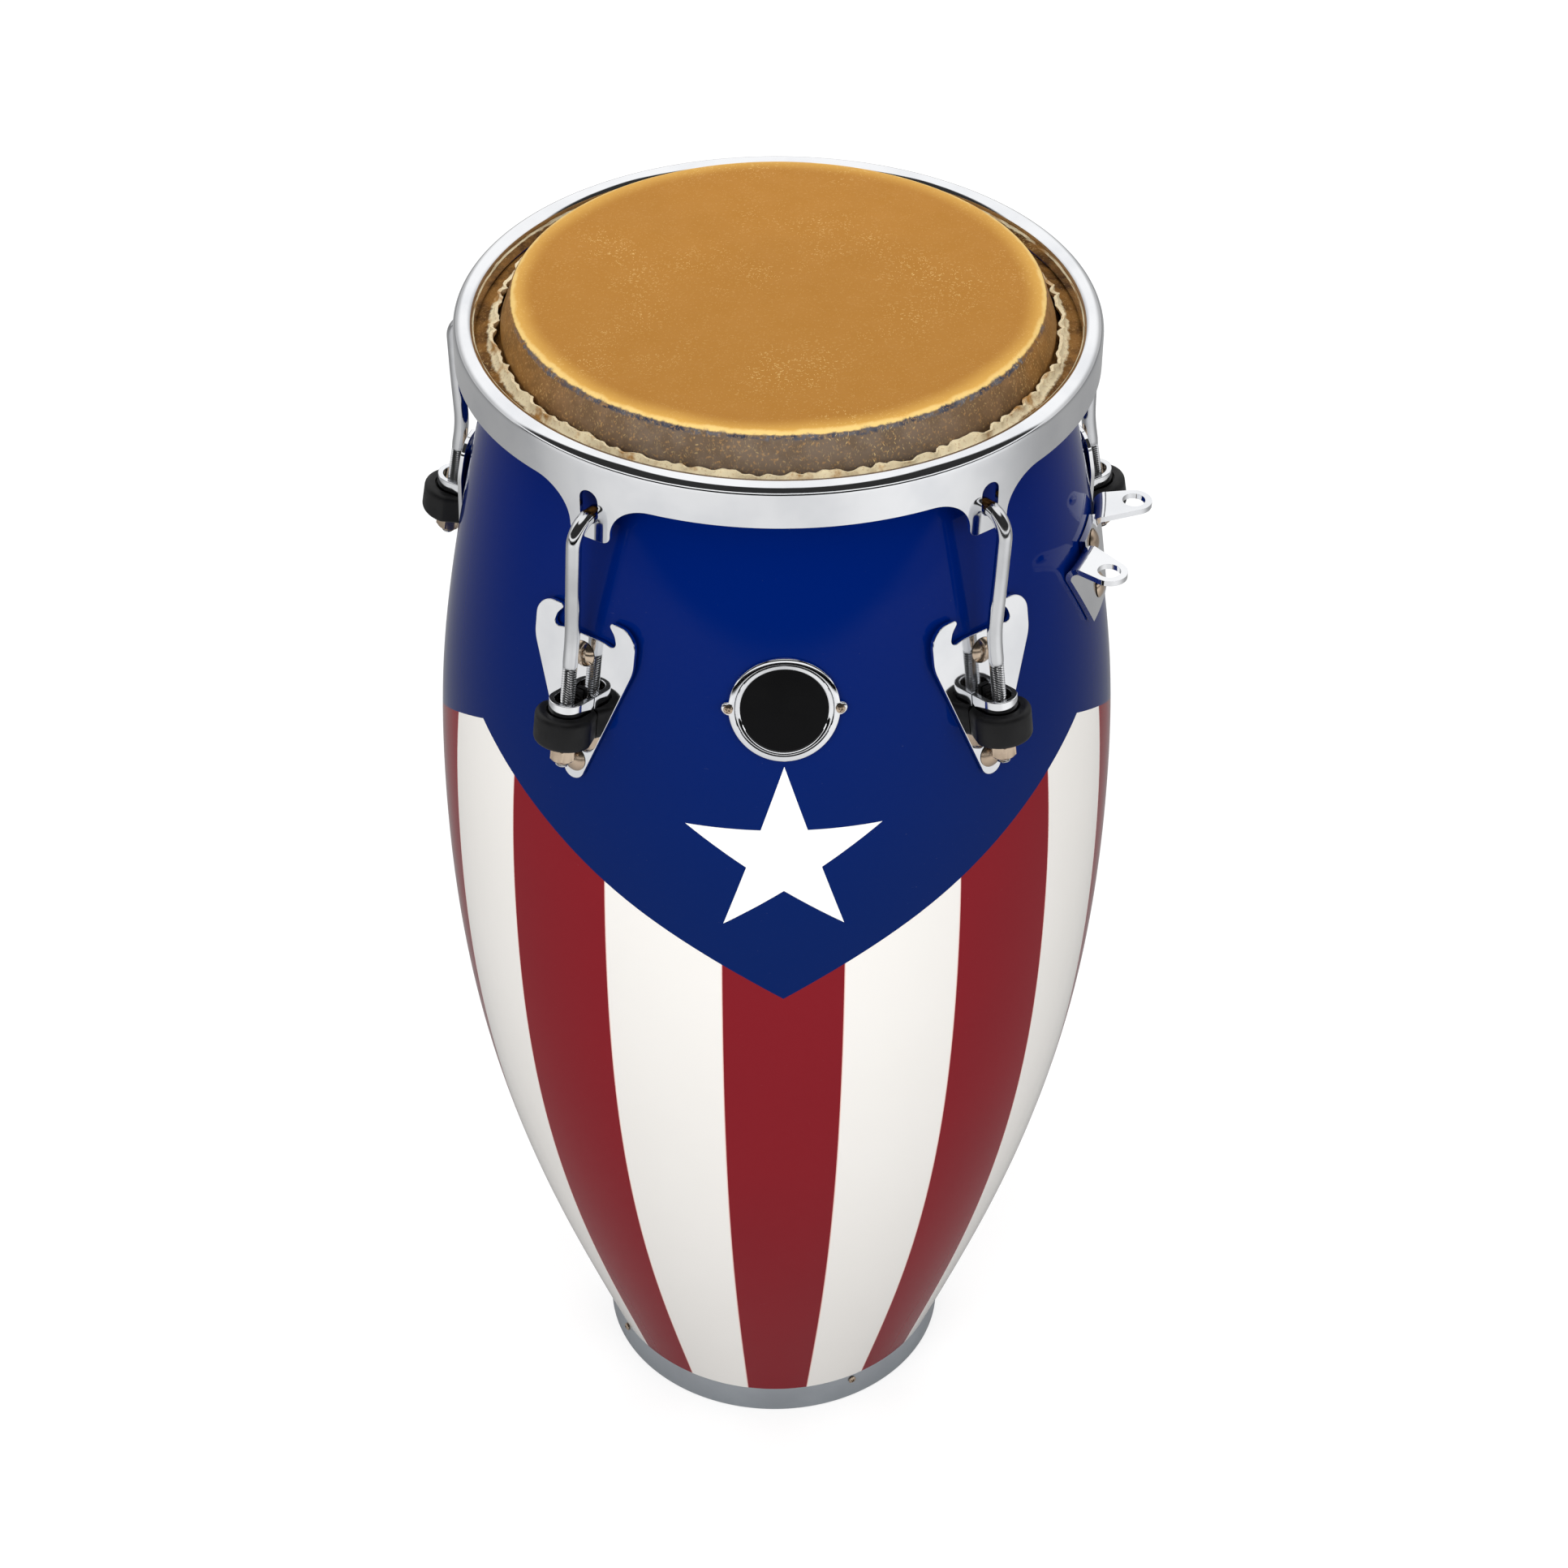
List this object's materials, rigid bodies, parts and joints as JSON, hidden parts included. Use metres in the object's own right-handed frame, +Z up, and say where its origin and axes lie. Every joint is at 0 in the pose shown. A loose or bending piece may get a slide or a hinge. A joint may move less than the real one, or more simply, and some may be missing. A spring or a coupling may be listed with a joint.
{
  "type": "quinto conga drum",
  "caption": "Tall barrel-shaped hand drum with a rawhide head, a rolled chrome tension rim drawn down by hooks and lugs, a stand bracket and a banded open foot.",
  "frame": {"origin": "centre of the round foot, on the floor it stands on, on the drum's turning axis", "axes": "+Z up along the drum's axis to the head; -Y is the front, where the round badge is; +X is the side of the stand bracket"},
  "size_m": [0.4072, 0.4053, 0.762],
  "materials": {
    "lacquer": "gloss lacquer, blue field with a white star over red and white stripes",
    "hide": "natural rawhide, amber, satin",
    "chrome": "polished chrome",
    "steel": "plain zinc-plated steel",
    "nickel": "nickel-plated steel, semi-bright",
    "rubber": "black moulded rubber",
    "band": "satin light grey metal"
  },
  "bodies": {
    "drum": {"shell": "lacquer", "head_skin": "hide", "stand_bracket": "chrome", "bracket_bolt_upper": "nickel", "bracket_bolt_lower": "nickel", "bracket_backing_plate": "steel", "badge": "chrome", "badge_screw_left": "nickel", "badge_screw_right": "nickel", "base_band": "band", "foot_ring": "rubber", "band_screw_1": "nickel", "band_screw_2": "nickel", "band_screw_3": "nickel", "band_screw_4": "nickel", "side_plate_1": "chrome", "receiver_1": "chrome", "bumper_1": "rubber", "plate_bolt_upper_1": "nickel", "plate_bolt_lower_1": "nickel", "backing_plate_1": "steel", "side_plate_2": "chrome", "receiver_2": "chrome", "bumper_2": "rubber", "plate_bolt_upper_2": "nickel", "plate_bolt_lower_2": "nickel", "backing_plate_2": "steel", "side_plate_3": "chrome", "receiver_3": "chrome", "bumper_3": "rubber", "plate_bolt_upper_3": "nickel", "plate_bolt_lower_3": "nickel", "backing_plate_3": "steel", "side_plate_4": "chrome", "receiver_4": "chrome", "bumper_4": "rubber", "plate_bolt_upper_4": "nickel", "plate_bolt_lower_4": "nickel", "backing_plate_4": "steel", "side_plate_5": "chrome", "receiver_5": "chrome", "bumper_5": "rubber", "plate_bolt_upper_5": "nickel", "plate_bolt_lower_5": "nickel", "backing_plate_5": "steel"},
    "tension_rim": {"rim": "chrome", "flesh_hoop": "steel", "hide_tuck": "hide"},
    "hook_1": {"hook_1": "chrome"},
    "nut_1": {"lug_nut_1": "nickel"},
    "hook_2": {"hook_2": "chrome"},
    "nut_2": {"lug_nut_2": "nickel"},
    "hook_3": {"hook_3": "chrome"},
    "nut_3": {"lug_nut_3": "nickel"},
    "hook_4": {"hook_4": "chrome"},
    "nut_4": {"lug_nut_4": "nickel"},
    "hook_5": {"hook_5": "chrome"},
    "nut_5": {"lug_nut_5": "nickel"}
  },
  "joints": [
    {"name": "rim_draw", "type": "slide", "parent": "drum", "child": "tension_rim", "axis": [0, 0, 1], "range_m": [-0.005, 0.004]},
    {"name": "hook_travel_1", "type": "slide", "parent": "drum", "child": "hook_1", "axis": [-0.1013, 0.1395, 0.985], "range_m": [-0.00509, 0.00408]},
    {"name": "nut_turn_1", "type": "hinge", "parent": "drum", "child": "nut_1", "pos_m": [0.1133, -0.15595, 0.60229], "axis": [-0.1013, 0.1395, 0.985], "range_deg": [-1045, 1305]},
    {"name": "hook_travel_2", "type": "slide", "parent": "drum", "child": "hook_2", "axis": [-0.164, -0.0533, 0.985], "range_m": [-0.00509, 0.00408]},
    {"name": "nut_turn_2", "type": "hinge", "parent": "drum", "child": "nut_2", "pos_m": [0.18333, 0.05957, 0.60229], "axis": [-0.164, -0.0533, 0.985], "range_deg": [-1045, 1305]},
    {"name": "hook_travel_3", "type": "slide", "parent": "drum", "child": "hook_3", "axis": [0, -0.1724, 0.985], "range_m": [-0.00509, 0.00408]},
    {"name": "nut_turn_3", "type": "hinge", "parent": "drum", "child": "nut_3", "pos_m": [0, 0.19276, 0.60229], "axis": [0, -0.1724, 0.985], "range_deg": [-1045, 1305]},
    {"name": "hook_travel_4", "type": "slide", "parent": "drum", "child": "hook_4", "axis": [0.164, -0.0533, 0.985], "range_m": [-0.00509, 0.00408]},
    {"name": "nut_turn_4", "type": "hinge", "parent": "drum", "child": "nut_4", "pos_m": [-0.18333, 0.05957, 0.60229], "axis": [0.164, -0.0533, 0.985], "range_deg": [-1045, 1305]},
    {"name": "hook_travel_5", "type": "slide", "parent": "drum", "child": "hook_5", "axis": [0.1013, 0.1395, 0.985], "range_m": [-0.00509, 0.00408]},
    {"name": "nut_turn_5", "type": "hinge", "parent": "drum", "child": "nut_5", "pos_m": [-0.1133, -0.15595, 0.60229], "axis": [0.1013, 0.1395, 0.985], "range_deg": [-1045, 1305]}
  ],
  "couplings": [
    {"joint": "hook_travel_1", "follows": "rim_draw", "ratio": 1.0152},
    {"joint": "nut_turn_1", "follows": "rim_draw", "rad_per_m": -4520.4},
    {"joint": "hook_travel_2", "follows": "rim_draw", "ratio": 1.0152},
    {"joint": "nut_turn_2", "follows": "rim_draw", "rad_per_m": -4520.4},
    {"joint": "hook_travel_3", "follows": "rim_draw", "ratio": 1.0152},
    {"joint": "nut_turn_3", "follows": "rim_draw", "rad_per_m": -4520.4},
    {"joint": "hook_travel_4", "follows": "rim_draw", "ratio": 1.0152},
    {"joint": "nut_turn_4", "follows": "rim_draw", "rad_per_m": -4520.4},
    {"joint": "hook_travel_5", "follows": "rim_draw", "ratio": 1.0152},
    {"joint": "nut_turn_5", "follows": "rim_draw", "rad_per_m": -4520.4}
  ]
}
